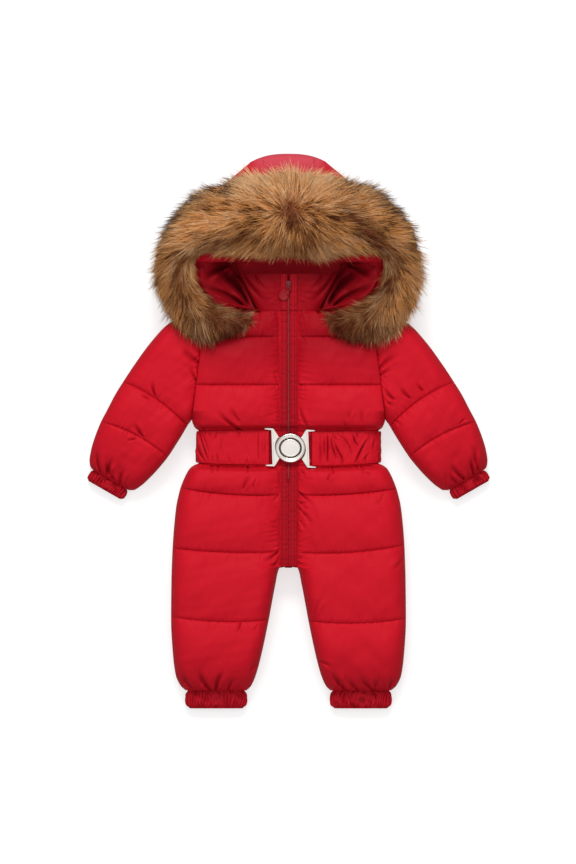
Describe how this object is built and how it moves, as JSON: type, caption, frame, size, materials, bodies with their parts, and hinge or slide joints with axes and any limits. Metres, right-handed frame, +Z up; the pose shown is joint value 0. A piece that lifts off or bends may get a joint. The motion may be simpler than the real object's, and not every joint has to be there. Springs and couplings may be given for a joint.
{
  "type": "kids one-piece ski suit",
  "caption": "Padded one-piece ski suit for a toddler, laid flat on its back, with a fur-trimmed hood, a gathered belt with a round clasp, and elastic cuffs.",
  "frame": {"origin": "on the surface that the suit lies on, under the middle of its width and length", "axes": "+X to the wearer's left, +Y towards the hood, +Z up, away from the surface"},
  "size_m": [0.6462, 0.89, 0.1262],
  "materials": {
    "shell_cloth": "red quilted nylon taffeta with a soft sheen",
    "trim_cloth": "dark red zip tape, coil and pull",
    "fur_hair": "long golden brown fur with darker tips",
    "silver_metal": "polished nickel plate"
  },
  "bodies": {
    "root": {"ankle_cuff_left": "shell_cloth", "ankle_cuff_right": "shell_cloth", "belt": "shell_cloth", "bodice_back": "shell_cloth", "bodice_front_left": "shell_cloth", "bodice_front_right": "shell_cloth", "buckle_disc": "silver_metal", "buckle_left": "silver_metal", "buckle_right": "silver_metal", "collar_back": "shell_cloth", "collar_front_left": "shell_cloth", "collar_front_right": "shell_cloth", "fur_trim": "fur_hair", "hood_left": "shell_cloth", "hood_middle": "shell_cloth", "hood_right": "shell_cloth", "placket_left": "shell_cloth", "placket_right": "shell_cloth", "sleeve_back_left": "shell_cloth", "sleeve_back_right": "shell_cloth", "sleeve_front_left": "shell_cloth", "sleeve_front_right": "shell_cloth", "trouser_back_left": "shell_cloth", "trouser_back_right": "shell_cloth", "trouser_front_left": "shell_cloth", "trouser_front_right": "shell_cloth", "wrist_cuff_left": "shell_cloth", "wrist_cuff_right": "shell_cloth", "zip_chain": "trim_cloth", "zip_slider": "silver_metal"},
    "pull": {"zip_pull": "trim_cloth"}
  },
  "joints": [
    {"name": "pull_swing", "type": "hinge", "parent": "root", "child": "pull", "pos_m": [0, 0.2319, 0.06203], "axis": [-1, 0, 0], "range_deg": [0, 140]}
  ]
}
